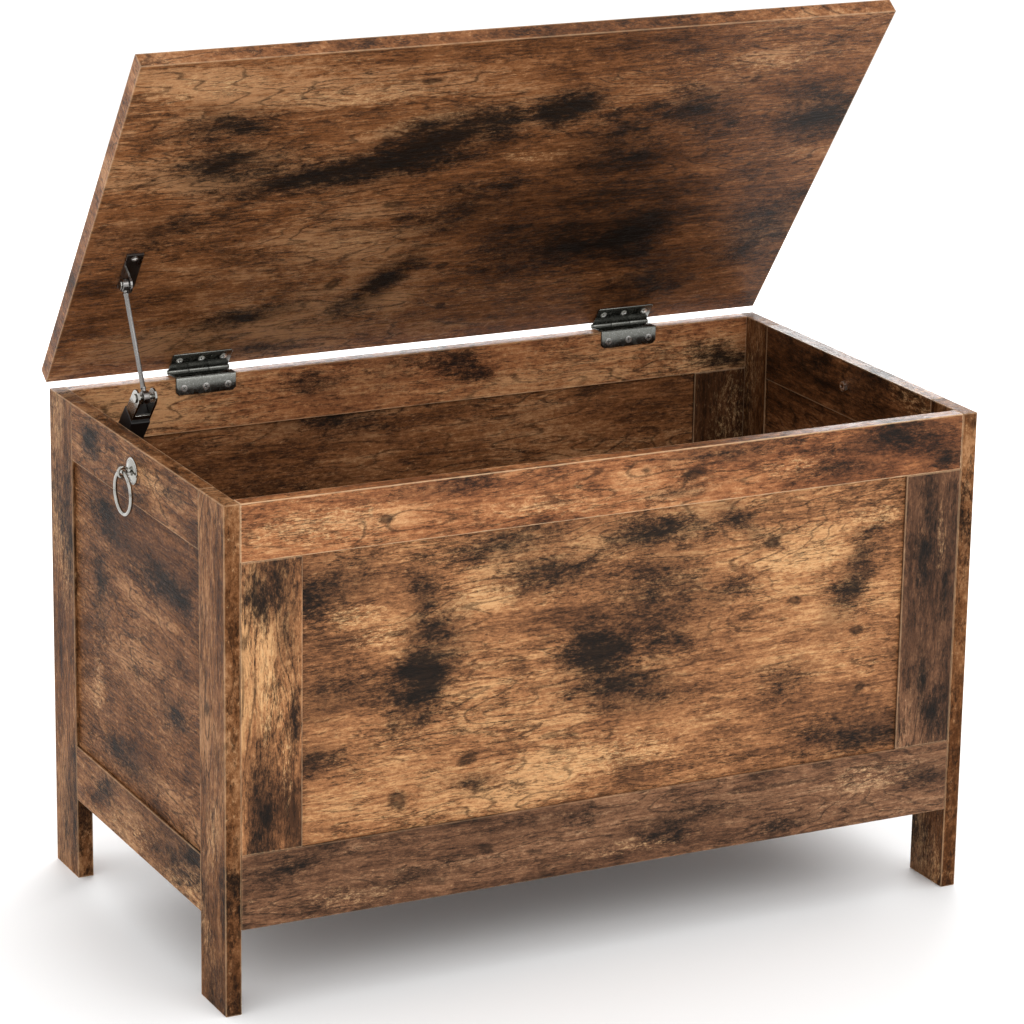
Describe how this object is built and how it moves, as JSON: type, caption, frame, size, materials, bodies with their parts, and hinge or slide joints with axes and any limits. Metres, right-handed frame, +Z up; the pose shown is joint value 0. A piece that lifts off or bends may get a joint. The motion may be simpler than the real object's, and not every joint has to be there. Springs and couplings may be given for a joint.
{
  "type": "wooden toy box",
  "caption": "Framed wooden toy chest with a hinged lid held open by a folding stay, and a ring pull on each side; stands on the ends of its side boards.",
  "frame": {"origin": "on the floor, at the middle of the ground that the box covers with its lid at rest, open 54 degrees", "axes": "+X to the right seen from the front, +Y to the back where the hinges are, +Z up"},
  "size_m": [0.7672, 0.4254, 0.8077],
  "materials": {
    "front_wood": "satin printed wood grain, rustic brown",
    "side_wood": "satin printed wood grain, greyish brown",
    "lid_wood": "satin printed wood grain, rustic brown",
    "inner_wood": "satin printed wood grain, dark brown",
    "hinge_steel": "nickel-plated sheet steel",
    "screw_steel": "zinc-plated",
    "chrome": "bright nickel",
    "dark_steel": "dark plated steel",
    "black_plastic": "black, satin"
  },
  "bodies": {
    "chest": {"back_bottom_rail": "front_wood", "back_floor_cleat": "inner_wood", "back_left_stile": "front_wood", "back_panel": "front_wood", "back_right_stile": "front_wood", "back_top_rail": "front_wood", "floor_board": "inner_wood", "front_bottom_rail": "front_wood", "front_floor_cleat": "inner_wood", "front_left_stile": "front_wood", "front_panel": "front_wood", "front_right_stile": "front_wood", "front_top_rail": "front_wood", "left_bottom_rail": "side_wood", "left_front_leg": "side_wood", "left_hinge_body_leaf": "hinge_steel", "left_hinge_body_screw_1": "screw_steel", "left_hinge_body_screw_2": "screw_steel", "left_hinge_body_screw_3": "screw_steel", "left_hinge_pin": "hinge_steel", "left_panel": "side_wood", "left_pull_nut": "screw_steel", "left_pull_rosette": "chrome", "left_rear_leg": "side_wood", "left_top_rail": "side_wood", "right_bottom_rail": "side_wood", "right_front_leg": "side_wood", "right_hinge_body_leaf": "hinge_steel", "right_hinge_body_screw_1": "screw_steel", "right_hinge_body_screw_2": "screw_steel", "right_hinge_body_screw_3": "screw_steel", "right_hinge_pin": "hinge_steel", "right_panel": "side_wood", "right_pull_nut": "screw_steel", "right_pull_rosette": "chrome", "right_rear_leg": "side_wood", "right_top_rail": "side_wood", "stay_base_bracket": "dark_steel", "stay_base_pin": "chrome", "stay_base_screw_1": "screw_steel", "stay_base_screw_2": "screw_steel"},
    "lid": {"left_hinge_lid_leaf": "hinge_steel", "left_hinge_lid_screw_1": "screw_steel", "left_hinge_lid_screw_2": "screw_steel", "left_hinge_lid_screw_3": "screw_steel", "lid": "lid_wood", "right_hinge_lid_leaf": "hinge_steel", "right_hinge_lid_screw_1": "screw_steel", "right_hinge_lid_screw_2": "screw_steel", "right_hinge_lid_screw_3": "screw_steel", "stay_lid_bracket": "dark_steel", "stay_lid_pin": "chrome", "stay_lid_screw": "screw_steel"},
    "stay_arm": {"stay_arm": "black_plastic", "stay_fork": "chrome", "stay_knee_pin": "chrome"},
    "stay_rod": {"stay_rod": "dark_steel"},
    "left_ring": {"left_pull_ring": "chrome"},
    "right_ring": {"right_pull_ring": "chrome"}
  },
  "joints": [
    {"name": "lid_hinge", "type": "hinge", "parent": "chest", "child": "lid", "pos_m": [0, 0.20093, 0.4617], "axis": [-1, 0, 0], "range_deg": [-54, 36]},
    {"name": "stay_arm_pivot", "type": "hinge", "parent": "chest", "child": "stay_arm", "pos_m": [-0.334, 0.15393, 0.3697], "axis": [-1, 0, 0], "range_deg": [-54, 36]},
    {"name": "stay_rod_pivot", "type": "hinge", "parent": "lid", "child": "stay_rod", "pos_m": [-0.334, 0.09921, 0.57568], "axis": [1, 0, 0], "range_deg": [-54, 36]},
    {"name": "left_ring_swing", "type": "hinge", "parent": "chest", "child": "left_ring", "pos_m": [-0.379, -0.00767, 0.436], "axis": [0, 1, 0], "range_deg": [-5, 100]},
    {"name": "right_ring_swing", "type": "hinge", "parent": "chest", "child": "right_ring", "pos_m": [0.379, -0.00767, 0.436], "axis": [0, -1, 0], "range_deg": [-5, 100]}
  ],
  "couplings": [
    {"joint": "stay_arm_pivot", "follows": "lid_hinge", "ratio": 1},
    {"joint": "stay_rod_pivot", "follows": "lid_hinge", "ratio": 1}
  ]
}
